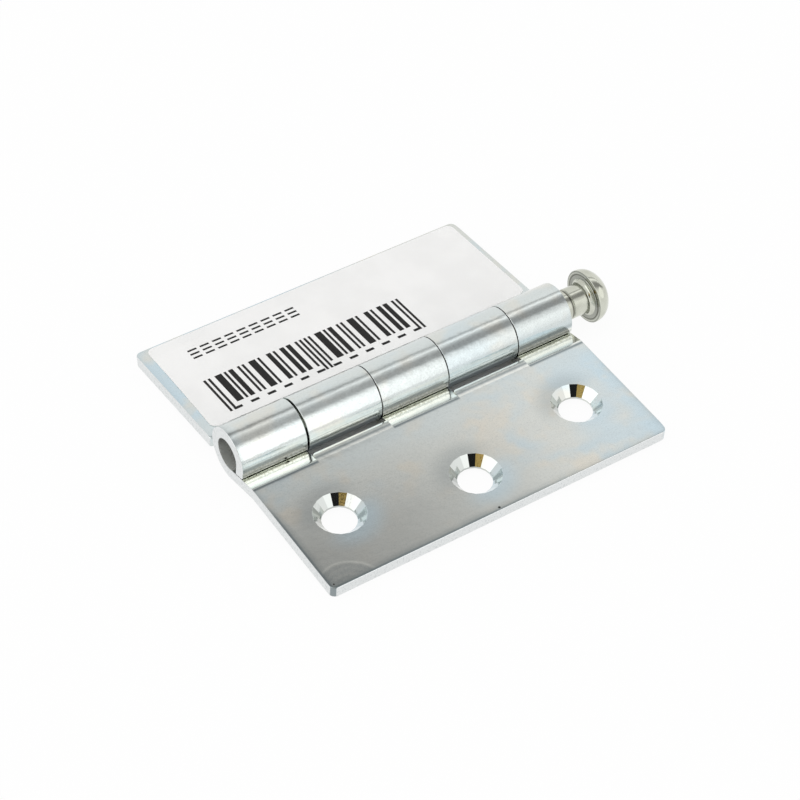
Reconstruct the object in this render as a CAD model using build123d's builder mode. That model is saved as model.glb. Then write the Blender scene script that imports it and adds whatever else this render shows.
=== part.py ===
from build123d import *
import math
import os

# Butt hinge with a loose pin, opened flat and lying on its barrel and its two free edges.
# Millimetres. X runs along the pin towards its head, the front leaf lies towards -Y, +Z is up.
# The origin is on the table, under the pin axis, midway along the overall length.

# Sheet and leaves
sheet = 2.5  # thickness of the steel sheet
leaf_length = 80.0  # along the pin
leaf_reach = 39.0  # pin axis to the free edge, along the leaf
axis_over_leaf = 1.25  # pin axis above the plane of a leaf's top face
leaf_corner = 1.4  # rounded corners of the free edge
rolled_edge = 0.35  # soft top edge left by the shears
dip_reach = 9.35  # pin axis to the line where a leaf starts to dip towards the barrel
dip_bend = 0.6  # inner radius of that bend, on the underside
notch_reach = 7.2  # pin axis to the edge of a notch
rear_shift = 0.3  # side play taken up: the rear leaf sits this much towards the pin's head

# Barrel and pin
pin_diameter = 6.7
pin_play = 0.15  # bore larger than the pin, on diameter
seam_gap = 0.3  # between the end of a roll and the strip that it closes on
bore_wedge = 2.55  # the bore runs out along the strip this far, to the foot of the roll's straight end
knuckle_gap = 0.15  # between neighbouring knuckles
rear_knuckle = 17.2  # length of each of the rear leaf's two knuckles
middle_knuckle = 16.0  # length of the front leaf's middle knuckle
knuckle_shift = 0.85  # middle of the knuckles, from the middle of the leaf towards the pin's head
pin_drawn_out = 7.3  # underside of the head to the end of the barrel
pin_tip_chamfer = 0.8
pin_root_fillet = 0.9  # where the shank meets the head
head_diameter = 11.8
head_rim = 0.6  # height of the upright rim under the dome, bevel included
head_bevel = 0.2  # bevel under the rim
head_dome = 4.1  # height of the dome above the rim

# Screw holes, the same in both leaves
hole_diameter = 7.2
countersink_diameter = 10.8
outer_hole_spacing = 57.0  # between the two outer holes, along the pin
outer_hole_reach = 23.4  # pin axis to the outer holes
middle_hole_reach = 28.6  # pin axis to the middle hole

# Paper label on the rear leaf
label_thickness = 0.12
label_left_margin = 1.9  # bare metal at the leaf's left-hand end
label_skew = 0.5  # the left-hand edge leans in by this much towards the free edge
label_right_margin = 1.1
label_near_reach = 9.6  # pin axis to the label's edge beside the barrel
label_far_margin = 0.5  # bare metal at the free edge
label_corner = 1.6

# Print on the label: a field of bars, a row of stroke blocks and a row of dashes
ink = 0.03  # thickness
bar_widths = (1, 1, 3, 1, 2, 1, 1, 3, 1, 2, 1, 2, 2, 1, 1)  # in modules, the field is this row twice over
bar_gaps = (1, 2, 1, 1, 2, 1, 2, 1, 3, 1, 2, 1, 2, 1, 1)  # after each bar, in modules
bar_rows = 2
bar_field_start = 5.5  # from the label's left-hand edge
bar_field_length = 47.5
bar_near_reach = 13.75  # pin axis to the lower end of the bars
bar_height = 9.45
guard_bar_extra = 1.9  # the first two, middle two and last two bars are longer
block_count = 9
block_strokes = 3  # short strokes in each block
block_width = 2.1
block_height = 3.1
block_pitch = 2.95
block_stroke = 0.5
block_row_start = 8.6  # from the label's left-hand edge to the middle of the first block
block_row_reach = 31.9  # pin axis to the middle of the row of blocks
dash_count = 12
dash_width = 1.9
dash_height = 0.7
dash_row_reach = 12.2  # pin axis to the middle of the row of dashes
on_plane = 0.01  # an edge this close to a plane counts as lying on it

# Worked-out sizes
pin_radius = pin_diameter / 2
bore_radius = pin_radius + pin_play / 2
barrel_radius = bore_radius + sheet
leaf_underside = axis_over_leaf + sheet
free_edge_radius = math.hypot(leaf_reach, leaf_underside)
droop = math.asin(barrel_radius / free_edge_radius) - math.atan(leaf_underside / leaf_reach)
axis_height = barrel_radius
dip_line_radius = math.hypot(dip_reach, axis_over_leaf)
dip_angle = math.asin(bore_radius / dip_line_radius) - math.atan(axis_over_leaf / dip_reach)
foot_turn = dip_angle - math.pi / 2  # direction from the pin axis to where the strip touches the bore
wall_turn = foot_turn + 2 * math.atan(bore_wedge / bore_radius)  # to where the straight end starts
head_at = leaf_length + pin_drawn_out
overall_length = head_at + head_rim + head_dome
left_end = -overall_length / 2

# Where each knuckle starts and ends along the pin
middle_start = left_end + (leaf_length - middle_knuckle) / 2 + knuckle_shift
middle_end = middle_start + middle_knuckle
rear_spans = [
    (middle_start - knuckle_gap - rear_knuckle, middle_start - knuckle_gap),
    (middle_end + knuckle_gap, middle_end + knuckle_gap + rear_knuckle),
]
front_spans = [
    (left_end, rear_spans[0][0] - knuckle_gap - rear_shift),
    (middle_start, middle_end),
    (rear_spans[1][1] + knuckle_gap, left_end + leaf_length),
]
front_notches = [(front_spans[0][1], front_spans[1][0]), (front_spans[1][1], front_spans[2][0])]
rear_start = left_end + rear_shift
rear_end = rear_start + leaf_length
rear_notches = [
    (rear_start, rear_spans[0][0]),
    (rear_spans[0][1], rear_spans[1][0]),
    (rear_spans[1][1], rear_end),
]

os.makedirs("parts", exist_ok=True)


def leaf_section_plane(side, x):
    """Plane across the pin at x: local x runs out along the leaf, local y up from it."""
    out = (0, side * math.cos(droop), -math.sin(droop))
    return Plane(origin=(x, 0, axis_height), x_dir=out, z_dir=(side, 0, 0))


def leaf_top_plane(side, lift=0.0):
    """Plane of a leaf's top face: local x is X, local y runs towards +Y across the leaf."""
    up = (0, side * math.sin(droop), math.cos(droop))
    depth = lift - axis_over_leaf
    return Plane(origin=(0, up[1] * depth, axis_height + up[2] * depth), x_dir=(1, 0, 0), z_dir=up)


def foot_point(radius):
    """Where the dipping strip meets a circle round the pin axis, in a leaf's section."""
    return radius * math.cos(foot_turn), radius * math.sin(foot_turn)


def wall_point(radius):
    """Where the roll's straight end starts on a circle round the pin axis."""
    return radius * math.cos(wall_turn), radius * math.sin(wall_turn)


def seam_point(radius):
    """Where the roll's straight end stops, a seam gap above the strip."""
    swept = wall_turn - foot_turn
    run = (bore_radius - seam_gap - radius * math.cos(swept)) / math.sin(swept)
    start = wall_point(radius)
    return start[0] + run * math.sin(wall_turn), start[1] - run * math.cos(wall_turn)


def knuckle_section(side, x):
    """Cross-section of the leaf where it carries a knuckle: flat, dip and roll in one sheet."""
    with BuildSketch(leaf_section_plane(side, x)) as section:
        Circle(barrel_radius)
        # The roll is open below its straight end, which then closes on the dipping strip
        beyond = 2 * barrel_radius
        with BuildLine():
            Polyline((0, 0), wall_point(beyond), (beyond, -beyond), foot_point(beyond), close=True)
        make_face(mode=Mode.SUBTRACT)
        with BuildLine():
            Polyline(
                wall_point(bore_radius),
                wall_point(barrel_radius),
                seam_point(barrel_radius),
                seam_point(bore_radius),
                close=True,
            )
        make_face()
        # Flat leaf and dipping strip
        dip_top = (dip_reach, -axis_over_leaf)
        bottom_kink = (dip_reach + sheet * math.tan(dip_angle / 2), -leaf_underside)
        with BuildLine():
            Polyline(
                (leaf_reach, -axis_over_leaf),
                dip_top,
                foot_point(bore_radius),
                foot_point(barrel_radius),
                bottom_kink,
                (leaf_reach, -leaf_underside),
                close=True,
            )
        make_face()
        Circle(bore_radius, mode=Mode.SUBTRACT)
        fillet(section.vertices().sort_by_distance(dip_top)[:1], dip_bend + sheet)
        fillet(section.vertices().sort_by_distance(bottom_kink)[:1], dip_bend)
    return section


def plain_section(side, x):
    """Cross-section of the leaf at a notch: the flat sheet alone."""
    with BuildSketch(leaf_section_plane(side, x)) as section:
        with Locations((notch_reach, -axis_over_leaf)):
            Rectangle(leaf_reach - notch_reach, sheet, align=(Align.MIN, Align.MAX))
    return section


def make_leaf(side, start, knuckles, notches):
    """One leaf, cut and rolled from one sheet. side is -1 for the front leaf and +1 for the rear one."""
    with BuildPart() as leaf:
        for first, last in knuckles:
            extrude(knuckle_section(side, first).sketch, amount=side * (last - first))
        for first, last in notches:
            extrude(plain_section(side, first).sketch, amount=side * (last - first))
        # Screw holes, staggered: the middle one lies nearer the free edge
        with Locations(leaf_top_plane(side)):
            with Locations(
                (start + (leaf_length - outer_hole_spacing) / 2, side * outer_hole_reach),
                (start + leaf_length / 2, side * middle_hole_reach),
                (start + (leaf_length + outer_hole_spacing) / 2, side * outer_hole_reach),
            ):
                CounterSinkHole(hole_diameter / 2, countersink_diameter / 2)
        # Rounded corners of the free edge, then the soft top edge
        top = leaf_top_plane(side)
        across = Axis((0, 0, 0), (0, side * math.cos(droop), -math.sin(droop)))
        upright = Axis((0, 0, 0), top.z_dir)
        corners = leaf.edges().filter_by(upright).sort_by(across)[-2:]
        fillet(corners, leaf_corner)
        rim = leaf.edges().filter_by(lambda edge: is_outer_top_edge(edge, top, side, start))
        fillet(rim, rolled_edge)
    return leaf


def is_outer_top_edge(edge, top, side, start):
    """True for the top edges along a leaf's two ends and its free edge, between the dip and the corners."""
    middle = top.to_local_coords(edge @ 0.5)
    if abs(middle.Z) > on_plane or abs(top.to_local_coords(edge @ 0).Z) > on_plane:
        return False
    reach = side * middle.Y
    at_end = min(middle.X - start, start + leaf_length - middle.X) < leaf_corner
    at_free_edge = leaf_reach - reach < leaf_corner
    return reach > dip_reach and (at_end or at_free_edge)


# The two leaves
front_leaf = make_leaf(-1, left_end, front_spans, front_notches)
front_leaf.part.label = "front_leaf"
export_step(front_leaf.part, "parts/front_leaf.step")

rear_leaf = make_leaf(1, rear_start, rear_spans, rear_notches)
rear_leaf.part.label = "rear_leaf"
export_step(rear_leaf.part, "parts/rear_leaf.step")

# Loose pin: shank and domed head, turned about the pin axis
pin_plane = Plane(origin=(left_end, 0, axis_height), x_dir=(1, 0, 0), z_dir=(0, -1, 0))
with BuildPart() as hinge_pin:
    with BuildSketch(pin_plane) as pin_profile:
        with BuildLine():
            outline = Polyline(
                (pin_drawn_out, 0),
                (pin_drawn_out, pin_radius - pin_tip_chamfer),
                (pin_drawn_out + pin_tip_chamfer, pin_radius),
                (head_at, pin_radius),
                (head_at, head_diameter / 2 - head_bevel),
                (head_at + head_bevel, head_diameter / 2),
                (head_at + head_rim, head_diameter / 2),
            )
            EllipticalCenterArc(
                (head_at + head_rim, 0), head_dome, head_diameter / 2, start_angle=0, arc_size=90
            )
            Line((overall_length, 0), outline @ 0)
        make_face()
        fillet(pin_profile.vertices().sort_by_distance((head_at, pin_radius))[:1], pin_root_fillet)
    revolve(axis=Axis((0, 0, axis_height), (1, 0, 0)))
hinge_pin.part.label = "hinge_pin"
export_step(hinge_pin.part, "parts/hinge_pin.step")

# Paper label, stuck flat on the rear leaf's top face
label_left = rear_start + label_left_margin
label_right = rear_end - label_right_margin
label_far_reach = leaf_reach - label_far_margin
with BuildPart() as paper_label:
    with BuildSketch(leaf_top_plane(1)) as label_shape:
        with BuildLine():
            Polyline(
                (label_left, label_near_reach),
                (label_right, label_near_reach),
                (label_right, label_far_reach),
                (label_left + label_skew, label_far_reach),
                close=True,
            )
        make_face()
        fillet(label_shape.vertices(), label_corner)
    extrude(amount=label_thickness)
paper_label.part.label = "paper_label"
export_step(paper_label.part, "parts/paper_label.step")

# Print: a field of bars with three longer pairs, a row of blocks above it and a row of dashes below
bar_steps = list(zip(bar_widths, bar_gaps)) * bar_rows
module = bar_field_length / (sum(bar + gap for bar, gap in bar_steps) - bar_gaps[-1])
last_bar = len(bar_steps) - 1
middle_bar = len(bar_steps) // 2
guard_bars = {0, 1, middle_bar - 1, middle_bar, last_bar - 1, last_bar}
with BuildPart() as label_print:
    with BuildSketch(leaf_top_plane(1, label_thickness)):
        at = label_left + bar_field_start
        for number, (bar, gap) in enumerate(bar_steps):
            extra = guard_bar_extra if number in guard_bars else 0
            with Locations((at, bar_near_reach - extra)):
                Rectangle(bar * module, bar_height + extra, align=Align.MIN)
            at += (bar + gap) * module
        stroke_pitch = (block_height - block_stroke) / (block_strokes - 1)
        for number in range(block_count):
            with Locations((label_left + block_row_start + number * block_pitch, block_row_reach)):
                with GridLocations(0, stroke_pitch, 1, block_strokes):
                    Rectangle(block_width, block_stroke)
        dash_pitch = bar_field_length / dash_count
        for number in range(dash_count):
            with Locations((label_left + bar_field_start + (number + 0.5) * dash_pitch, dash_row_reach)):
                Rectangle(dash_width, dash_height)
    extrude(amount=ink)
label_print.part.label = "label_print"
export_step(label_print.part, "parts/label_print.step")

print("droop", round(math.degrees(droop), 3), "dip", round(math.degrees(dip_angle), 2))
print("overall length", round(overall_length, 2), "barrel diameter", round(2 * barrel_radius, 2))
print("front knuckles", [(round(a - left_end, 2), round(b - left_end, 2)) for a, b in front_spans])
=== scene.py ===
import bpy
import math
import random
from mathutils import Matrix, Vector
from types import SimpleNamespace


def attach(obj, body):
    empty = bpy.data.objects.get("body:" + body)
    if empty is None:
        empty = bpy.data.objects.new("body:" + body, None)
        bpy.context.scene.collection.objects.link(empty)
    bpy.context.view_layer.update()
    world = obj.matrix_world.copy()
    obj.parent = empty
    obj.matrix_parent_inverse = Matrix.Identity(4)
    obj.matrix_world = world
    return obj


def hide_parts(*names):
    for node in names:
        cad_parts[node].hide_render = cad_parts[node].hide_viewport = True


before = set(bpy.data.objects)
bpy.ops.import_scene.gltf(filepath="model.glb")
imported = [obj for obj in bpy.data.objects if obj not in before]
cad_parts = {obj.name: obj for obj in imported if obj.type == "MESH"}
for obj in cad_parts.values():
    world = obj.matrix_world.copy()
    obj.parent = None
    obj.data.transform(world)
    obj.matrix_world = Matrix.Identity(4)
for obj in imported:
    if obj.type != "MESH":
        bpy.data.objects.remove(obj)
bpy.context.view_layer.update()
random.seed(7)
print("frame loaded")

# Everything is modelled in millimetres with the pin axis on the X axis, then put in its place


def only(piece):
    # selects this piece and nothing else
    if bpy.context.object and bpy.context.object.mode != "OBJECT":
        bpy.ops.object.mode_set(mode="OBJECT")
    bpy.ops.object.select_all(action="DESELECT")
    piece.select_set(True)
    bpy.context.view_layer.objects.active = piece


def choose(piece, kind, test):
    # goes into edit mode with just the faces, edges or points selected whose corners pass the test
    only(piece)
    bpy.ops.object.mode_set(mode="EDIT")
    bpy.ops.mesh.select_mode(type={"faces": "FACE", "edges": "EDGE", "points": "VERT"}[kind])
    bpy.ops.mesh.select_all(action="DESELECT")
    bpy.ops.object.mode_set(mode="OBJECT")
    points = piece.data.vertices
    if kind == "points":
        for point in points:
            point.select = test([point.co])
    else:
        for item in piece.data.polygons if kind == "faces" else piece.data.edges:
            item.select = test([points[index].co for index in item.vertices])
    bpy.ops.object.mode_set(mode="EDIT")


def everything(corners):
    return True


def done():
    bpy.ops.object.mode_set(mode="OBJECT")


def push(x, y, z):
    # extrudes what is selected by that much
    bpy.ops.mesh.extrude_region_move(TRANSFORM_OT_translate={"value": (x, y, z)})


def cutAcross(piece, place, normal):
    # adds a row of points where that plane meets the piece
    choose(piece, "faces", everything)
    bpy.ops.mesh.bisect(plane_co=place, plane_no=normal)
    done()


def bevelEdges(piece, test, width, steps):
    choose(piece, "edges", test)
    bpy.ops.mesh.bevel(offset=width, segments=steps, affect="EDGES")
    done()


def finishWith(piece, kind, **settings):
    # adds a modifier and applies it
    only(piece)
    modifier = piece.modifiers.new(kind.title(), kind)
    for name, value in settings.items():
        setattr(modifier, name, value)
    bpy.ops.object.modifier_apply(modifier=modifier.name)


def smooth(piece, angle):
    only(piece)
    bpy.ops.object.shade_smooth_by_angle(angle=math.radians(angle))


def fixNormals(piece):
    choose(piece, "faces", everything)
    bpy.ops.mesh.remove_doubles(threshold=0.0005)
    bpy.ops.mesh.normals_make_consistent(inside=False)
    done()


def faceUp(piece, face):
    if face.normal.z < 0:
        piece.data.flip_normals()


def addSheet(name, left, right, nearY, farY, height):
    # flat rectangle between those places
    bpy.ops.object.select_all(action="DESELECT")
    centre = ((left + right) / 2, (nearY + farY) / 2, height)
    bpy.ops.mesh.primitive_plane_add(size=1, location=centre)
    piece = bpy.context.object
    piece.name = name
    piece.scale = (right - left, abs(farY - nearY), 1)
    bpy.ops.object.transform_apply(location=True, rotation=True, scale=True)
    return piece


def settle(piece, turn, height):
    # turns the piece about the pin axis, lifts it to its height and turns millimetres into metres
    only(piece)
    piece.matrix_world = (
        Matrix.Scale(0.001, 4) @ Matrix.Translation((0, 0, height)) @ Matrix.Rotation(turn, 4, "X")
    )
    bpy.ops.object.transform_apply(location=True, rotation=True, scale=True)


def near(value, target, slack=0.02):
    return abs(value - target) < slack


# Shader helpers: maths is written as Python on sockets


class Wire:
    # a socket that Python maths can be written on
    def __init__(self, graph, socket):
        self.graph = graph
        self.socket = socket

    def maths(self, operation, *others):
        values = dict(enumerate((self,) + others))
        return self.graph.add("Math", {"operation": operation}, values)

    def __add__(self, other):
        return self.maths("ADD", other)

    __radd__ = __add__

    def __sub__(self, other):
        return self.maths("SUBTRACT", other)

    def __rsub__(self, other):
        return self.graph.add("Math", {"operation": "SUBTRACT"}, {0: other, 1: self})

    def __mul__(self, other):
        return self.maths("MULTIPLY", other)

    __rmul__ = __mul__

    def __truediv__(self, other):
        return self.maths("DIVIDE", other)

    def __pow__(self, other):
        return self.maths("POWER", other)

    def ramp(self, start, end, low=0.0, high=1.0):
        # smooth step from low to high between start and end
        settings = {"interpolation_type": "SMOOTHSTEP"}
        return self.graph.add("MapRange", settings, {0: self, 1: start, 2: end, 3: low, 4: high})

    def bell(self, centre, width):
        # 1 at the centre, falling to 0 one width away
        away = (self - centre).maths("ABSOLUTE")
        return away.ramp(0, width, 1, 0)


class Graph:
    def __init__(self, tree):
        self.tree = tree
        tree.nodes.clear()

    def add(self, kind, settings=None, inputs=None, output=0):
        node = self.tree.nodes.new("ShaderNode" + kind)
        for name, value in (settings or {}).items():
            if name == "stops":
                while len(node.color_ramp.elements) < len(value):
                    node.color_ramp.elements.new(0.5)
                for element, (at, colour) in zip(node.color_ramp.elements, value):
                    element.position = at
                    element.color = colour
            else:
                setattr(node, name, value)
        for name, value in (inputs or {}).items():
            if isinstance(value, Wire):
                self.tree.links.new(value.socket, node.inputs[name])
            else:
                node.inputs[name].default_value = value
        return Wire(self, node.outputs[output]) if len(node.outputs) else node

    def mix(self, factor, first, second):
        return self.add("Mix", {"data_type": "RGBA"}, {0: factor, 6: first, 7: second}, output=2)

    def paint(self, tone, mask, colour):
        # lays a plain colour over the tone where the mask is
        return self.mix(mask, tone, shade(*colour))

    def split(self, vector):
        node = self.add("SeparateXYZ", {}, {0: vector}).socket.node
        return [Wire(self, socket) for socket in node.outputs]

    def noise(self, place, size, stretch=(1, 1, 1), detail=2.0):
        # noise whose blotches are about size millimetres across, drawn out by stretch
        scale = tuple(1000 / size / part for part in stretch)
        spread = self.add("Mapping", {}, {"Vector": place, "Scale": scale})
        return self.add("TexNoise", {}, {"Vector": spread, "Scale": 1.0, "Detail": detail})

    def bump(self, strength, height):
        return self.add("Bump", {}, {"Strength": strength, "Distance": 1.0, "Height": height})

    def finish(self, inputs):
        # principled surface with those inputs
        surface = self.add("BsdfPrincipled", {}, inputs)
        self.add("OutputMaterial", {}, {"Surface": surface})


def newMaterial(name):
    material = bpy.data.materials.new(name)
    material.use_nodes = True
    return material, Graph(material.node_tree)


def shade(r, g, b):
    return (r, g, b, 1.0)


# Leaves, pressed from sheet with the knuckles rolled from it

leafSizes = {
    "sheet": 2.5,
    "length": 80.0,
    "reach": 39.0,  # pin axis to free edge
    "axisOver": 1.25,  # pin axis above the top face
    "corner": 1.4,  # rounded free corners
    "rolledEdge": 0.22,  # soft top edge
    "notchEdge": 0.3,  # rounded top edge of a notch
    "notchRoll": 1.0,  # the sheet's top rolls down a little towards a notch
    "notchDrop": 0.18,
    "rollEdge": 0.5,  # rounded end of the roll
    "barrelEdge": 0.14,  # rounded ends of the knuckles
    "softEdge": 0.08,  # every other edge
    "dipReach": 9.35,
    "dipBend": 3.1,  # radius of the bend on its outer, upper side
    "notchReach": 7.2,
    "notchCorner": 0.55,  # rounded left-hand corner of a notch
    "bore": 3.425,  # radius
    "seamGap": 0.16,
    "boreWedge": 2.55,
    "rollTail": 2.6,  # straight end of the roll, before it is sheared
    "tailOut": (2.9, 6.2),  # where that tail lies, out from the pin axis
    "tailHigh": (-3.3, 0.5),  # and over it
    "endOut": 5.6,  # the sheared end's outer edge lies further out than this
    "endHigh": (-2.2, -1.5),  # and between these heights
    "stripHigh": -4.5,  # below this the roll's outside is strip
    "hole": 3.6,  # radius
    "countersink": 5.4,  # radius at the top face
    "coneAngle": 82.0,
    "facets": 20,  # flats left on the cone by the tool
    "cutterBelow": 3.0,  # how far the hole's cutter goes down past its cone
    "cutterOver": 1.0,  # and up over the top face
    "holeSpacing": 57.0,
    "outerHoleReach": 23.4,
    "middleHoleReach": 28.6,
    "droop": 3.205634,  # degrees below level
    "axisHeight": 5.925,
    "bendSteps": 5,
    "rollSteps": 72,
}
leftEnd = -46.0
frontKnuckles = [(0.0, 15.05), (32.85, 48.85), (66.35, 80.0)]
frontNotches = [(15.05, 32.85), (48.85, 66.35)]
rearKnuckles = [(15.5, 32.7), (49.0, 66.2)]
rearNotches = [(0.3, 15.5), (32.7, 49.0), (66.2, 80.3)]
rearShift = 0.3
leafMiddle = leafSizes["length"] / 2
screwHoles = [  # along the leaf, reach, and how far the flats of the cone are turned
    (leafMiddle - leafSizes["holeSpacing"] / 2, leafSizes["outerHoleReach"], -30),
    (leafMiddle, leafSizes["middleHoleReach"], -34),
    (leafMiddle + leafSizes["holeSpacing"] / 2, leafSizes["outerHoleReach"], -37.8),
]


def leafPlan(side, shift):
    # places worked out from the sizes
    size = leafSizes
    top = -size["axisOver"]
    dipRadius = math.hypot(size["dipReach"], size["axisOver"])
    dip = math.asin(size["bore"] / dipRadius) - math.atan(size["axisOver"] / size["dipReach"])
    foot = dip - math.pi / 2
    slope = math.tan(math.radians(size["coneAngle"] / 2))
    return SimpleNamespace(
        side=side,
        start=leftEnd + shift,
        end=leftEnd + shift + size["length"],
        top=top,
        dip=dip,
        bendStart=size["dipReach"] + size["dipBend"] * math.tan(dip / 2),
        foot=foot,  # angle about the pin axis where the strip meets the bore
        wall=foot + 2 * math.atan(size["boreWedge"] / size["bore"]),  # and where the roll ends
        slope=slope,
        coneFoot=top - (size["countersink"] - size["hole"]) / slope,
    )


def layFlat(plan, name, knuckles, notches):
    # flat part, cut across where the knuckles and notches meet
    nearY, farY = plan.side * plan.bendStart, plan.side * leafSizes["reach"]
    piece = addSheet(name, plan.start, plan.end, nearY, farY, plan.top)
    for line in sorted({round(leftEnd + edge, 4) for span in knuckles + notches for edge in span}):
        if plan.start + 0.01 < line < plan.end - 0.01:
            cutAcross(piece, (line, 0, 0), (1, 0, 0))
    return piece


def onBendLine(plan, first, last):
    low, high = leftEnd + first - 0.02, leftEnd + last + 0.02
    return lambda corners: all(
        near(point.y, plan.side * plan.bendStart) and low < point.x < high for point in corners
    )


def reachNotches(plan, piece, notches):
    # the sheet just stops short there
    size = leafSizes
    for first, last in notches:
        choose(piece, "edges", onBendLine(plan, first, last))
        push(0, plan.side * (size["notchReach"] + size["notchRoll"] - plan.bendStart), 0)
        push(0, -plan.side * size["notchRoll"], -size["notchDrop"])
        done()


def rollKnuckles(plan, piece, knuckles):
    # bend down, run to the bore, roll round it and come straight down on the strip
    size = leafSizes
    side, dip, foot, wall = plan.side, plan.dip, plan.foot, plan.wall
    footY, footZ = size["bore"] * math.cos(foot), size["bore"] * math.sin(foot)
    bendY = plan.bendStart - size["dipBend"] * math.sin(dip)
    bendZ = plan.top - size["dipBend"] * (1 - math.cos(dip))
    for first, last in knuckles:
        centre = leftEnd + (first + last) / 2
        choose(piece, "edges", onBendLine(plan, first, last))
        bpy.ops.mesh.spin(
            steps=size["bendSteps"], angle=-side * dip, axis=(1, 0, 0),
            center=(centre, side * plan.bendStart, plan.top - size["dipBend"]),
        )
        push(0, side * (footY - bendY), footZ - bendZ)
        bpy.ops.mesh.spin(
            steps=size["rollSteps"], angle=side * (2 * math.pi - (wall - foot)), axis=(1, 0, 0),
            center=(centre, 0, 0),
        )
        push(0, side * math.sin(wall) * size["rollTail"], -math.cos(wall) * size["rollTail"])
        done()


def shearRollEnd(plan, piece):
    # the roll's end is sheared parallel to the strip, a seam gap above it
    size = leafSizes
    seam = size["bore"] - size["seamGap"]
    normal = Vector((0, -plan.side * math.cos(plan.foot), -math.sin(plan.foot)))
    (inner, outer), (low, high) = size["tailOut"], size["tailHigh"]
    choose(
        piece, "faces",
        lambda corners: all(
            inner < plan.side * point.y < outer and low < point.z < high for point in corners
        ),
    )
    bpy.ops.mesh.bisect(
        plane_co=normal * -seam, plane_no=normal, use_fill=True, clear_inner=True
    )
    done()


def roundCorners(plan, piece, notches):
    # rounded as seen from above
    size = leafSizes

    def uprightAt(x, reach, slack=0.02):
        return lambda corners: all(
            near(point.x, x) and near(plan.side * point.y, reach, slack) for point in corners
        ) and abs(corners[0].z - corners[1].z) > 1

    for x in (plan.start, plan.end):
        bevelEdges(piece, uprightAt(x, size["reach"]), size["corner"], 6)
    for first, last in notches:
        bevelEdges(piece, uprightAt(leftEnd + first, size["notchReach"], 0.6), size["notchCorner"], 5)


def drillHoles(plan, piece):
    # screw holes, drilled with a faceted cutter
    size = leafSizes
    below, over = size["cutterBelow"], size["cutterOver"]
    for along, reach, turn in screwHoles:
        x, y = plan.start + along, plan.side * reach
        bpy.ops.object.select_all(action="DESELECT")
        bpy.ops.mesh.primitive_cylinder_add(
            vertices=size["facets"], radius=size["hole"], depth=below,
            location=(x, y, plan.coneFoot - below / 2), rotation=(0, 0, math.radians(turn)),
        )
        cutter = bpy.context.object
        bpy.ops.object.transform_apply(location=True, rotation=True, scale=True)
        choose(cutter, "faces", lambda corners: all(near(point.z, plan.coneFoot) for point in corners))
        push(0, 0, plan.top - plan.coneFoot + over)
        grow = (size["countersink"] + over * plan.slope) / size["hole"]
        bpy.ops.transform.resize(value=(grow, grow, 1), center_override=(x, y, plan.top))
        done()
        finishWith(piece, "BOOLEAN", operation="DIFFERENCE", object=cutter, solver="EXACT")
        bpy.data.objects.remove(cutter)


def softenEdges(plan, piece):
    size = leafSizes
    side, top = plan.side, plan.top
    rollEnd = size["bore"] + size["sheet"]

    def onRim(corners):
        # top edge round the free edge and the two ends
        if not all(near(point.z, top) and side * point.y > size["dipReach"] + 0.4 for point in corners):
            return False
        centre = (corners[0] + corners[1]) / 2
        inset = min(centre.x - plan.start, plan.end - centre.x, size["reach"] - side * centre.y)
        return inset < size["corner"] * 0.3 + 0.01

    def onNotch(corners):
        if not all(-size["notchDrop"] - 0.02 < point.z - top < 0.01 for point in corners):
            return False
        reaches = [side * point.y for point in corners]
        lowest, highest = size["notchReach"] - 0.02, size["notchReach"] + size["notchCorner"] + 0.02
        return lowest < min(reaches) and max(reaches) < highest

    def onRollEnd(corners):
        low, high = size["endHigh"]
        return all(
            size["endOut"] < side * point.y < rollEnd and low < point.z < high for point in corners
        ) and abs(corners[0].x - corners[1].x) > 5

    def onKnuckleEnd(corners):
        if abs(corners[0].x - corners[1].x) > 0.01:
            return False
        return all(
            near(math.hypot(point.y, point.z), rollEnd) and point.z > size["stripHigh"]
            for point in corners
        )

    bevelEdges(piece, onRim, size["rolledEdge"], 4)
    bevelEdges(piece, onNotch, size["notchEdge"], 4)
    bevelEdges(piece, onRollEnd, size["rollEdge"], 5)
    bevelEdges(piece, onKnuckleEnd, size["barrelEdge"], 3)
    finishWith(
        piece, "BEVEL", width=size["softEdge"], segments=2, limit_method="ANGLE",
        angle_limit=math.radians(38),
    )


def keepConesFlat(plan, piece):
    # the flats that the tool left on the cones stay flat
    size = leafSizes
    for along, reach, turn in screwHoles:
        x, y = plan.start + along, plan.side * reach

        def onCone(corners):
            for point in corners:
                away = math.hypot(point.x - x, point.y - y)
                if away > size["countersink"] + 0.1 or point.z < plan.coneFoot - 0.1:
                    return False
                if not near(away, size["hole"] + (point.z - plan.coneFoot) * plan.slope, 0.03):
                    return False
            return True

        choose(piece, "edges", onCone)
        bpy.ops.mesh.mark_sharp()
        done()


def makeLeaf(name, side, shift, knuckles, notches):
    plan = leafPlan(side, shift)
    piece = layFlat(plan, name, knuckles, notches)
    reachNotches(plan, piece, notches)
    rollKnuckles(plan, piece, knuckles)
    fixNormals(piece)
    faceUp(piece, max(piece.data.polygons, key=lambda face: face.area))
    finishWith(piece, "SOLIDIFY", thickness=leafSizes["sheet"], offset=-1, use_even_offset=True)
    shearRollEnd(plan, piece)
    roundCorners(plan, piece, notches)
    drillHoles(plan, piece)
    softenEdges(plan, piece)
    smooth(piece, 32)
    keepConesFlat(plan, piece)
    finishWith(piece, "WEIGHTED_NORMAL", keep_sharp=True, weight=80)
    settle(piece, -side * math.radians(leafSizes["droop"]), leafSizes["axisHeight"])
    print(name, "modelled", len(piece.data.polygons), "faces")
    return piece


frontLeaf = makeLeaf("leafFront", -1, 0.0, frontKnuckles, frontNotches)
rearLeaf = makeLeaf("leafRear", 1, rearShift, rearKnuckles, rearNotches)

# Loose pin, drawn out a little to the right

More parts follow.
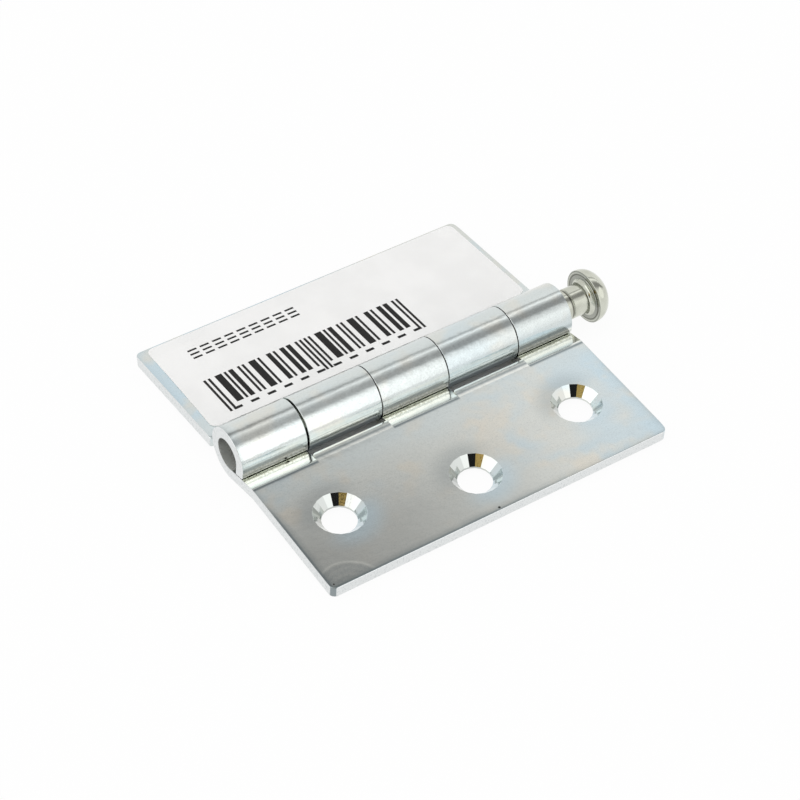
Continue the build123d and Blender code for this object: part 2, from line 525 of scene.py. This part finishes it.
pinSizes = {
    "radius": 3.35,
    "tipAt": 7.3,  # from the leaf's left-hand end
    "tipChamfer": 0.8,
    "grooveAt": 82.25,
    "grooveWidth": 0.5,
    "grooveDepth": 0.2,
    "grooveLip": 0.14,  # slope at each side of the groove
    "headAt": 87.3,
    "rootFillet": 0.9,
    "filletSteps": 5,
    "ridge": ((4.4, 0), (4.48, -0.1), (4.58, -0.13), (4.68, -0.1), (4.78, 0)),  # radius, place along
    "headRadius": 5.9,
    "headBevel": 0.2,
    "rim": 0.6,
    "dome": 4.1,
    "domeSteps": 20,
    "around": 96,
}


def cutGroove(piece):
    # narrow groove just outside the barrel
    size = pinSizes
    first = leftEnd + size["grooveAt"]
    last = first + size["grooveWidth"]
    for x in (first - size["grooveLip"], first, last, last + size["grooveLip"]):
        cutAcross(piece, (x, 0, 0), (1, 0, 0))
    choose(piece, "points", lambda corners: first - 0.01 < corners[0].x < last + 0.01)
    shrink = 1 - size["grooveDepth"] / size["radius"]
    bpy.ops.transform.resize(value=(1, shrink, shrink), center_override=(first, 0, 0))
    done()


def headRings(straight, head):
    # place along the pin and radius of each ring from the fillet to the dome
    size = pinSizes
    rings = []
    fillet = size["rootFillet"]
    for step in range(1, size["filletSteps"] + 1):
        turn = math.pi / 2 * step / size["filletSteps"]
        rings.append((straight + fillet * math.sin(turn), size["radius"] + fillet * (1 - math.cos(turn))))
    rings += [(head + rise, radius) for radius, rise in size["ridge"]]
    flatRadius = size["headRadius"] - size["headBevel"]
    rings += [(head, flatRadius), (head + 0.08, flatRadius + 0.14)]
    rings.append((head + size["headBevel"], size["headRadius"]))
    rimEnd = head + size["rim"]
    rings.append((rimEnd - 0.08, size["headRadius"]))
    for step in range(size["domeSteps"]):
        turn = math.pi / 2 * step / size["domeSteps"]
        rings.append((rimEnd + size["dome"] * math.sin(turn), size["headRadius"] * math.cos(turn)))
    return rings


def makePin():
    size = pinSizes
    tip, head = leftEnd + size["tipAt"], leftEnd + size["headAt"]
    straight = head - size["rootFillet"]
    bpy.ops.object.select_all(action="DESELECT")
    bpy.ops.mesh.primitive_cylinder_add(
        vertices=size["around"], radius=size["radius"], depth=straight - tip,
        location=((tip + straight) / 2, 0, 0), rotation=(0, math.pi / 2, 0),
    )
    piece = bpy.context.object
    piece.name = "loosePin"
    bpy.ops.object.transform_apply(location=True, rotation=True, scale=True)
    bevelEdges(piece, lambda corners: all(near(point.x, tip) for point in corners), size["tipChamfer"], 3)
    cutGroove(piece)

    # head: each ring is pushed out of the one before and scaled to its radius
    choose(piece, "faces", lambda corners: all(near(point.x, straight) for point in corners))
    atX, atRadius = straight, size["radius"]
    for x, radius in headRings(straight, head):
        push(x - atX, 0, 0)
        grow = radius / atRadius
        bpy.ops.transform.resize(value=(1, grow, grow), center_override=(x, 0, 0))
        atX, atRadius = x, radius
    push(head + size["rim"] + size["dome"] - atX, 0, 0)
    bpy.ops.mesh.merge(type="CENTER")
    done()
    fixNormals(piece)
    smooth(piece, 35)
    finishWith(piece, "WEIGHTED_NORMAL", keep_sharp=True, weight=60)
    settle(piece, 0, leafSizes["axisHeight"])
    print("pin modelled", len(piece.data.polygons), "faces")
    return piece


loosePin = makePin()

# Paper sticker; its print comes from the frame

labelSizes = {
    "left": 2.2,  # from the front leaf's left-hand end
    "right": 79.2,
    "nearReach": 9.6,
    "farReach": 38.5,
    "skew": 0.5,
    "corner": 1.6,
    "thickness": 0.12,
    "edge": 0.03,  # softened edges
    "rows": 12,
    "wave": 0.09,  # how far the left-hand edge wanders
}


def makeLabel():
    size = labelSizes
    left, right = leftEnd + size["left"], leftEnd + size["right"]
    nearReach, farReach = size["nearReach"], size["farReach"]
    piece = addSheet("paperSticker", left, right, nearReach, farReach, -leafSizes["axisOver"])
    choose(piece, "points", lambda corners: near(corners[0].x, left) and near(corners[0].y, farReach))
    bpy.ops.transform.translate(value=(size["skew"], 0, 0))
    done()
    choose(piece, "points", everything)
    bpy.ops.mesh.bevel(offset=size["corner"], segments=6, affect="VERTICES")
    done()
    # rows across the sticker let its left-hand edge wander a little
    for row in range(1, size["rows"]):
        reach = nearReach + (farReach - nearReach) * row / size["rows"]
        cutAcross(piece, (0, reach, 0), (0, 1, 0))
        drift = random.uniform(0, size["wave"])
        choose(piece, "points", lambda corners: near(corners[0].y, reach) and corners[0].x < left + 1)
        bpy.ops.transform.translate(value=(drift, 0, 0))
        done()
    fixNormals(piece)
    faceUp(piece, piece.data.polygons[0])
    finishWith(piece, "SOLIDIFY", thickness=size["thickness"], offset=1)
    finishWith(piece, "BEVEL", width=size["edge"], segments=2, limit_method="ANGLE")
    smooth(piece, 35)
    finishWith(piece, "WEIGHTED_NORMAL", keep_sharp=True)
    settle(piece, -math.radians(leafSizes["droop"]), leafSizes["axisHeight"])
    print("label modelled", len(piece.data.polygons), "faces")
    return piece


sticker = makeLabel()
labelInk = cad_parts["label_print"]

# Finishes

zincLook = {
    "warm": (0.70, 0.715, 0.68),  # flat of the leaf
    "cool": (0.68, 0.725, 0.715),  # barrel and dip
    "blue": (0.585, 0.71, 0.775),  # tints in the plating
    "beige": (0.78, 0.72, 0.615),
    # painted shade on the front flat
    "darkTone": (0.555, 0.565, 0.535),
    "side": (0.78, 0.80, 0.80),  # sheared edges
    "darkShadeAndMarks": (0.26, 0.30, 0.31),  # painted shade along the edges, above the holes and on the strips; also dark speckles and the corner stain
    "bore": (0.50, 0.52, 0.50),
    # painted shade under the rear knuckles
    "knuckleShade": (0.16, 0.2, 0.22),
    "bright": (0.87, 0.89, 0.85),  # painted highlight on the strips and notch edges
    "ring": (0.85, 0.86, 0.8),  # pale line round the stain
    "nearBlack": (0.02, 0.022, 0.02),
    "specks": ((10.25, 6.3, 0.3), (38.9, 38.3, 0.25), (1.0, 37.9, 0.16)),  # along, reach, size
    "olive": (0.36, 0.35, 0.23),  # dirt in the seam
    "roughness": 0.13,
    "peel": 0.00003,  # metres, orange-peel of the plating
    "lines": 0.000003,  # metres, drawing lines along the sheet
    "coneMarks": 0.000014,
    "coolUpTo": 11.0,  # millimetres from the pin axis
    "warmFrom": 18.0,
    "blueEnd": 74.0,  # the right-hand end turns blue from here
    "shadeAlong": (62, 24),  # painted shade: the flat is painted darker between these, towards the left
    "shadeReach": (12, 33),  # and towards the free edge
    "halo": (5.6, 10.5),  # radii round a screw hole
    "stain": (3.2, 41.0, 7.1),  # round stain at the corner: along, reach, radius
}


def leafPlace(graph, shift, offset):
    # where a point lies, in millimetres: along the leaf, out from the pin axis level and in the
    # sheet's plane, and over the axis; with the noises that every mark shares
    place = graph.add("TexCoord", {}, {}, output=3)
    moved = graph.add("VectorMath", {"operation": "ADD"}, {0: place, 1: offset})
    x, y, z = graph.split(place)
    high = z * 1000 - leafSizes["axisHeight"]
    out = y.maths("ABSOLUTE") * 1000
    droop = math.radians(leafSizes["droop"])
    return SimpleNamespace(
        moved=moved,
        along=x * 1000 - (leftEnd + shift),
        high=high,
        out=out,
        reach=out * math.cos(droop) - high * math.sin(droop),
        fromAxis=(out * out + high * high) ** 0.5,
        front=y.ramp(0.0, -0.002),
        cloud=graph.noise(moved, 14, (1.5, 1, 1), 3.0),
        cloudTwo=graph.noise(moved, 7, (1, 1, 1), 2.0),
        fine=graph.noise(moved, 0.35, (1, 1, 1), 2.0),
    )


def distance(at, along, reach):
    aside, below = at.along - along, at.reach - reach
    return (aside * aside + below * below) ** 0.5, aside, below


def plating(graph, at, isFront):
    # cool on the barrel, warmer on the flat, with blue and beige clouds, and painted shade on the front
    # flat towards the left
    look = zincLook
    warmth = (at.out + (at.cloud - 0.5) * 12).ramp(look["coolUpTo"], look["warmFrom"])
    tone = graph.mix(warmth, shade(*look["cool"]), shade(*look["warm"]))
    if isFront:
        end = (at.along + (at.cloudTwo - 0.5) * 6).ramp(look["blueEnd"], look["blueEnd"] + 4) * 0.8
    else:
        end = at.along.ramp(60, 30) * 0.9
    tone = graph.paint(tone, end * warmth, look["blue"])
    tone = graph.paint(tone, at.cloud.ramp(0.5, 0.66) * (0.3 + 0.35 * warmth), look["blue"])
    tone = graph.paint(tone, at.cloudTwo.ramp(0.48, 0.68) * (0.35 + 0.3 * warmth), look["beige"])
    if isFront:
        # painted shade, cloudy: the front flat is painted darker towards the left and the free edge,
        # standing in for a darker reflection
        darkTone = at.along.ramp(*look["shadeAlong"]) * at.reach.ramp(*look["shadeReach"])
        tone = graph.paint(tone, darkTone * (0.55 + 0.7 * at.cloud), look["darkTone"])
    return tone


def haloes(graph, at, tone):
    # round each screw hole, painted bluish light below it and painted shade above it; gives where the
    # cones are as well
    look = zincLook
    cone = 0
    for holeAlong, holeReach, turn in screwHoles:
        away, aside, below = distance(at, holeAlong, holeReach)
        lean = (aside * 0.45 + below * 0.9) / away
        halo = away.ramp(*look["halo"], 1, 0)
        tone = graph.paint(tone, halo * lean.ramp(0, 0.9) * 0.7, look["blue"])
        tone = graph.paint(tone, halo * lean.ramp(0.2, -0.9) * 0.35, look["darkShadeAndMarks"])
        cone = cone + away.ramp(leafSizes["countersink"] + 0.05, leafSizes["countersink"] - 0.05)
    return tone, cone


def cornerStain(graph, at, tone):
    look = zincLook
    stainAlong, stainReach, radius = look["stain"]
    ring = distance(at, stainAlong, stainReach)[0] + (at.cloudTwo - 0.5) * 0.8
    waves = 0.25 + 0.07 * (ring * 4.2).maths("SINE") + 0.4 * (at.fine - 0.5)
    tone = graph.paint(tone, ring.ramp(radius, radius - 1.0) * waves, look["darkShadeAndMarks"])
    return graph.paint(tone, ring.bell(radius, 0.5) * 0.4, look["ring"])


def edgeLine(graph, at, tone, gap, wobble, isFront):
    # painted shade: a dark line along the edges, palest at the right-hand end
    dark = (gap + wobble).ramp(0.2, 2.0, 0.45, 0) + (gap + wobble * 0.4).ramp(0.25, 0.75, 0.5, 0)
    dark = dark * at.along.ramp(30, 68, 1, 0.25) * at.reach.ramp(13, 20, 0.3, 1)
    return graph.paint(tone, dark * (1 if isFront else 0.12), zincLook["darkShadeAndMarks"])


def strips(graph, at, tone):
    # the front leaf's strips get a painted highlight, with painted shade in the crease where they bend
    # down and at the seam, a painted dark reflection band on the barrel, a painted highlight and dark
    # line at the notch edges, and olive dirt by the seam
    look = zincLook
    crease = 0
    for first, last in frontKnuckles:
        onKnuckle = at.along.ramp(first - 0.2, first + 0.2) * at.along.ramp(last + 0.2, last - 0.2)
        crease = crease + onKnuckle
    onStrip = at.front * at.reach.ramp(9.9, 9.6) * at.high.ramp(-0.3, -0.8)
    # painted highlight on the sloped strips
    tone = graph.paint(tone, onStrip, look["bright"])
    # painted dark reflection as a band round the front of the barrel
    belt = at.front * at.high.bell(0.2, 0.9) * at.fromAxis.ramp(5.6, 5.8) * 0.45
    tone = graph.paint(tone, belt, look["darkShadeAndMarks"])
    # painted shade in the seam
    seam = at.front * at.high.bell(-1.35, 0.3) * at.fromAxis.ramp(6.1, 6.0) * 0.5
    tone = graph.paint(tone, seam, look["darkShadeAndMarks"])
    dirt = at.front * at.fromAxis.ramp(5.9, 6.1) * at.reach.ramp(8.6, 6.2) * at.fine.ramp(0.42, 0.6)
    tone = graph.paint(tone, dirt * 0.45, look["olive"])
    # painted highlight along the notch edges
    tone = graph.paint(tone, at.front * (1 - crease) * at.reach.ramp(8.4, 8.2), look["bright"])
    # painted dark line beside the notch edges, a painted reflection, and painted shade in the crease
    edge = (1 - crease) * at.reach.bell(8.8, 0.7) * at.front * 0.8
    crease = (crease * at.reach.bell(9.85, 0.6) * (0.8 + 0.4 * at.cloudTwo)).maths("MAXIMUM", edge)
    return graph.paint(tone, crease, look["darkShadeAndMarks"])


def paintedKnuckleShade(graph, at, tone, wobble):
    # painted shade: the rear knuckles are painted dark under their middle, a painted reflection of the
    # dark beneath them
    under = at.front * (at.high + wobble * 0.5).ramp(-0.7, -1.5) * at.fromAxis.ramp(5.6, 5.8)
    return graph.paint(tone, under * 0.85, zincLook["knuckleShade"])


def knuckleGapsDark(graph, at, tone, shift):
    # near black in the gaps between the knuckles
    ends = sorted(edge for span in frontKnuckles + rearKnuckles for edge in span)[1:-1]
    gaps = 0
    for first, last in zip(ends[::2], ends[1::2]):
        width = 0.45 if last - first > 0.2 else 0.3
        gaps = gaps + (at.along + shift).bell((first + last) / 2, width)
    gaps = at.fromAxis.ramp(6.2, 6.0) * (at.fine * 0.5 + gaps * 0.6).ramp(0.6, 0.72)
    return graph.paint(tone, gaps, zincLook["nearBlack"])


def specks(graph, at, tone):
    for speckAlong, speckReach, size in zincLook["specks"]:
        speck = distance(at, speckAlong, speckReach)[0] + (at.fine - 0.5) * 0.3
        tone = graph.paint(tone, speck.ramp(size + 0.08, size - 0.08) * at.front, zincLook["nearBlack"])
    return tone


def boreTone(graph, at):
    # bare and dull, with painted shade darker further in
    bare = zincLook["bore"]
    deep = (at.along * 0.7 + at.high * 2.5).ramp(-3.5, 6.5)
    return graph.mix(deep, shade(*bare), shade(*(part * 0.3 for part in bare)))


def zincMaterial(name, shift, offset):
    look = zincLook
    material, graph = newMaterial(name)
    at = leafPlace(graph, shift, offset)
    isFront = shift == 0
    tone = plating(graph, at, isFront)
    tone, cone = haloes(graph, at, tone)
    tone = graph.paint(tone, at.fine.ramp(0.45, 0.75) * 0.12 * (1 - cone), look["darkShadeAndMarks"])
    # how far in from the nearest edge
    gap = at.along.maths("MINIMUM", leafSizes["length"] - at.along)
    gap = gap.maths("MINIMUM", leafSizes["reach"] - at.reach)
    wobble = (at.cloudTwo - 0.5) * 0.8
    if isFront:
        tone = cornerStain(graph, at, tone)
    tone = edgeLine(graph, at, tone, gap, wobble, isFront)
    if isFront:
        tone = strips(graph, at, tone)
    else:
        tone = paintedKnuckleShade(graph, at, tone, wobble)
    sheared = gap.ramp(0.12, 0.05)
    tone = graph.paint(tone, sheared, look["side"])
    tone = graph.paint(tone, sheared * at.fine.ramp(0.5, 0.7) * 0.3, look["darkShadeAndMarks"])
    tone = knuckleGapsDark(graph, at, tone, shift)
    if isFront:
        tone = specks(graph, at, tone)
    bore = at.fromAxis.ramp(leafSizes["bore"] + 0.195, leafSizes["bore"] + 0.075)
    tone = graph.mix(bore, tone, boreTone(graph, at))

    rough = look["roughness"] + 0.05 * graph.noise(at.moved, 2.5, (4, 1, 1), 4.0)
    rough = (rough + bore * 0.3 + sheared * 0.15) * (1 - 0.6 * cone)
    barrel = at.reach.ramp(11, 9, 0.35, 2)
    peel = graph.noise(at.moved, 1.6, (1.6, 1, 1), 2.0) * look["peel"] * barrel * (1 - cone)
    lines = graph.noise(at.moved, 0.12, (60, 1, 1), 3.0) * look["lines"]
    marks = graph.noise(at.moved, 0.45, (1, 1, 1), 1.0) * look["coneMarks"] * cone
    bump = graph.bump(0.6, peel + lines + marks)
    graph.finish(
        {"Base Color": tone, "Metallic": 1 - bore * 0.65, "Roughness": rough, "Normal": bump}
    )
    return material


pinLook = {
    "darkTone": (0.53, 0.54, 0.465),
    "bright": (0.64, 0.655, 0.575),
    "under": (0.29, 0.30, 0.27),  # flat under the head, painted dark as a painted reflection
    # painted shade in the groove and painted dark reflections on the head
    "groove": (0.10, 0.10, 0.08),
    "roughness": 0.09,
    "turned": 0.00001,  # metres, lines round the shank
    "peel": 0.00004,  # metres
}


def pinMaterial():
    look = pinLook
    material, graph = newMaterial("pinSteel")
    place = graph.add("TexCoord", {}, {}, output=3)
    x, y, z = graph.split(place)
    along = x * 1000 - leftEnd
    high = z * 1000 - leafSizes["axisHeight"]
    fromAxis = (y * y * 1000000 + high * high) ** 0.5
    cloud = graph.noise(place, 4, (1, 1, 1), 3.0)
    tone = graph.mix(cloud.ramp(0.3, 0.7), shade(*look["darkTone"]), shade(*look["bright"]))
    head = pinSizes["headAt"]
    # painted dark reflection on the flat under the head
    under = along.ramp(head + 0.12, head + 0.06) * fromAxis.ramp(4.0, 4.2)
    tone = graph.paint(tone, under * (0.6 + 0.5 * cloud), look["under"])
    # painted highlight: a bright ring on the flat under the head
    tone = graph.paint(tone, under * fromAxis.bell(5.42, 0.14), look["bright"])
    # painted dark reflection: a dark ring at the head and dark streaks on its right side
    tone = graph.paint(tone, along.bell(head, 0.3) * fromAxis.bell(5.02, 0.2), look["groove"])
    streak = under * fromAxis.bell(5.15, 0.45) * (y * 1000).ramp(-1.5, -4) * high.ramp(-2.5, 0)
    tone = graph.paint(tone, streak * 0.9, look["groove"])
    grooveMiddle = pinSizes["grooveAt"] + pinSizes["grooveWidth"] / 2
    # painted shade in the groove
    inGroove = along.bell(grooveMiddle, 0.36) * fromAxis.ramp(3.7, 3.5)
    tone = graph.paint(tone, inGroove, look["groove"])
    turned = graph.noise(place, 0.25, (1, 40, 40), 2.0) * look["turned"] * (1 - under)
    peel = graph.noise(place, 1.4, (1, 1, 1), 2.0) * look["peel"]
    rough = look["roughness"] + 0.06 * cloud
    bump = graph.bump(0.6, turned + peel)
    graph.finish({"Base Color": tone, "Metallic": 1.0, "Roughness": rough, "Normal": bump})
    return material


paperLook = {
    "grey": (0.82, 0.82, 0.815),
    "white": (0.86, 0.86, 0.855),
    "grain": 0.00002,  # metres
    "wave": 0.0002,  # metres
}


def paperMaterial():
    look = paperLook
    material, graph = newMaterial("labelPaper")
    place = graph.add("TexCoord", {}, {}, output=3)
    cloud = graph.noise(place, 9, (1, 1, 1), 4.0)
    tone = graph.mix(cloud.ramp(0.35, 0.7), shade(*look["grey"]), shade(*look["white"]))
    grain = graph.noise(place, 0.35, (1, 1, 1), 3.0) * look["grain"]
    wave = graph.noise(place, 11, (1, 1, 1), 1.0) * look["wave"]
    bump = graph.bump(0.5, grain + wave)
    graph.finish({"Base Color": tone, "Roughness": 0.5 + 0.1 * cloud, "Normal": bump})
    return material


inkLook = {"dark": (0.006, 0.006, 0.006), "worn": (0.018, 0.017, 0.016), "shine": 0.25}


def inkMaterial():
    look = inkLook
    material, graph = newMaterial("labelInk")
    place = graph.add("TexCoord", {}, {}, output=3)
    speck = graph.noise(place, 0.4, (1, 1, 1), 3.0)
    tone = graph.mix(speck.ramp(0.4, 0.7), shade(*look["dark"]), shade(*look["worn"]))
    rough = 0.5 + 0.2 * speck
    graph.finish({"Base Color": tone, "Roughness": rough, "Specular IOR Level": look["shine"]})
    return material


def wear(piece, material):
    piece.data.materials.clear()
    piece.data.materials.append(material)


wear(frontLeaf, zincMaterial("zincFront", 0.0, (0, 0, 0)))
wear(rearLeaf, zincMaterial("zincRear", rearShift, (0.3, 0.2, 0.1)))
wear(loosePin, pinMaterial())
wear(sticker, paperMaterial())
wear(labelInk, inkMaterial())
print("finishes made")

for piece, node in (
    (frontLeaf, "front_leaf"),
    (rearLeaf, "rear_leaf"),
    (loosePin, "hinge_pin"),
    (sticker, "paper_label"),
):
    body = {"hinge_pin": "pin", "paper_label": "rear_leaf"}.get(node, node)
    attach(piece, body)
    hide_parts(node)

# Floor, light and camera

studio = {
    # brightness of the surroundings by their angle over the back horizon, in degrees,
    # first towards the middle and then further to the right
    "middleBands": [
        (0, 0.98), (38, 0.98), (46, 0.9), (54, 0.72), (56, 0.64), (58, 0.36), (59.5, 0.24),
        (63, 0.25), (66, 0.5), (71, 0.8), (76, 1.0), (80, 1.0), (86, 0.75), (95, 0.6), (113, 0.6),
        (118, 0.9), (122, 1.2), (126, 1.45), (132, 1.75), (180, 1.7),
    ],
    "rightBands": [
        (0, 0.98), (40, 0.98), (50, 1.02), (60, 1.08), (62, 0.75), (65, 0.5), (68, 0.6),
        (71, 0.9), (75, 1.3), (79, 1.3), (84, 0.8), (90, 0.52), (97, 0.33), (114, 0.33),
        (119, 0.55), (125, 0.8), (135, 0.92), (147, 1.18), (160, 1.12), (180, 1.0),
    ],
    "middle": 0.345,  # how far to the right the middle bands reach, as a part of the ray's length
    "right": 0.46,  # and where the right bands start
    "leftEdge": (0.17, 0.05),  # the bands fade into the plain left side between these
    "plainLevel": 0.95,
    # round spots: their direction, and their inner and outer angle in degrees
    "darkSpot": ((-0.21, -0.78, 0.59), 11.5, 14.5),
    "goldSpot": ((-0.605, -0.525, 0.595), 12, 14.5),
    "leftSpot": ((-0.866, 0.1, 0.49), 21, 25),
    "rightSpot": ((0.78, -0.53, 0.33), 16, 21),
    "leftLevel": 1.6,
    "rightLevel": 1.4,
    "gold": (0.66, 0.47, 0.16),
    "lampPlace": (-0.2, 0.1, 0.9),
    "lampSize": 0.8,
    "lampPower": 1.15,
    "floorSize": 6.0,
    "floor": 0.86,
    "floorShown": 0.94,  # how much of the floor's white the camera sees over its shading
    "darkOut": (0.009, 0.007),  # edges of the dark under the barrel
    "darkLeft": (-0.042, -0.038),
    "darkRight": (0.030, 0.026),
}


def makeFloor():
    bpy.ops.object.select_all(action="DESELECT")
    bpy.ops.mesh.primitive_plane_add(size=studio["floorSize"], location=(0, 0, 0))
    floor = bpy.context.object
    floor.name = "floor"
    material, graph = newMaterial("floorWhite")
    camera = graph.add("LightPath", {}, {})
    glossy = Wire(graph, camera.socket.node.outputs["Is Glossy Ray"])
    grey = studio["floor"]
    plain = graph.add("BsdfDiffuse", {}, {"Color": shade(grey, grey, grey)})
    glow = graph.add("Emission", {}, {"Color": shade(1, 1, 1), "Strength": 1.0})
    x, y, z = graph.split(graph.add("TexCoord", {}, {}, output=3))
    # the dark under the barrel, seen through the notches, stays
    under = y.maths("ABSOLUTE").ramp(*studio["darkOut"])
    under = under * x.ramp(*studio["darkLeft"]) * x.ramp(*studio["darkRight"])
    shown = (camera + glossy) * studio["floorShown"] * (1 - under)
    both = graph.add("MixShader", {}, {0: shown, 1: plain, 2: glow})
    graph.add("OutputMaterial", {}, {"Surface": both})
    wear(floor, material)


def makeWorld():
    world = bpy.data.worlds.new("studio")
    bpy.context.scene.world = world
    world.use_nodes = True
    graph = Graph(world.node_tree)
    ray = graph.add("TexCoord", {}, {})
    x, y, z = graph.split(ray)
    angle = z.maths("ARCTAN2", y) * (180 / math.pi)

    def bands(name):
        # a colour ramp holds up to 1, so the levels go in halved
        stops = [(at / 180, shade(value / 2, value / 2, value / 2)) for at, value in studio[name]]
        ramp = graph.add("ValToRGB", {"stops": stops}, {0: angle / 180})
        return graph.add("RGBToBW", {}, {0: ramp}) * 2

    def spot(name):
        direction, inner, outer = studio[name]
        settings = {"operation": "DOT_PRODUCT"}
        facing = graph.add("VectorMath", settings, {0: ray, 1: direction}, output=1)
        return facing.ramp(math.cos(math.radians(outer)), math.cos(math.radians(inner)))

    def blend(level, part, other):
        return level * (1 - part) + other * part

    aside = graph.add("MapRange", {}, {0: x, 1: studio["middle"], 2: studio["right"]})
    level = blend(bands("middleBands"), aside, bands("rightBands"))
    level = blend(level, x.ramp(*studio["leftEdge"]), studio["plainLevel"])
    level = blend(level, spot("leftSpot"), studio["leftLevel"])
    level = blend(level, spot("rightSpot"), studio["rightLevel"])
    gold = spot("goldSpot")
    mottle = graph.noise(ray, 45, (1, 1, 1), 1.0).ramp(0.5, 0.6)
    level = level * (1 - 0.98 * spot("darkSpot")) * (1 - gold * mottle * 0.95)
    camera = graph.add("LightPath", {}, {})
    colour = graph.mix(gold * (1 - camera), shade(1, 1, 1), shade(*studio["gold"]))
    light = graph.add("Background", {}, {"Color": colour, "Strength": camera + (1 - camera) * level})
    graph.add("OutputWorld", {}, {"Surface": light})


def makeLamp():
    bpy.ops.object.light_add(type="AREA", location=studio["lampPlace"])
    lamp = bpy.context.object
    lamp.data.shape = "DISK"
    lamp.data.size = studio["lampSize"]
    lamp.data.energy = studio["lampPower"]
    lamp.rotation_euler = (Vector((0, 0, 0)) - lamp.location).to_track_quat("-Z", "Y").to_euler()
    lamp.visible_glossy = False


cameraPlace = {
    "spot": (-0.2051, -0.2961, 0.34194),
    "azimuth": -34.033,
    "elevation": 43.768,
    "roll": 0.954,
    "lens": 108.24,
}


def makeCamera():
    turn, lift, roll = (math.radians(cameraPlace[key]) for key in ("azimuth", "elevation", "roll"))
    ahead = -Vector((math.sin(turn) * math.cos(lift), -math.cos(turn) * math.cos(lift), math.sin(lift)))
    right = ahead.cross(Vector((0, 0, 1))).normalized()
    up = right.cross(ahead)
    tiltedRight = right * math.cos(roll) + up * math.sin(roll)
    tiltedUp = up * math.cos(roll) - right * math.sin(roll)
    bpy.ops.object.camera_add()
    camera = bpy.context.object
    camera.matrix_world = Matrix.Translation(cameraPlace["spot"]) @ Matrix(
        (tiltedRight, tiltedUp, -ahead)
    ).transposed().to_4x4()
    camera.data.lens = cameraPlace["lens"]
    camera.data.sensor_width = 36
    camera.data.sensor_fit = "HORIZONTAL"
    camera.data.clip_start = 0.01
    bpy.context.scene.camera = camera


makeFloor()
makeWorld()
makeLamp()
makeCamera()
bpy.context.scene.view_settings.view_transform = "Standard"
print("studio ready")
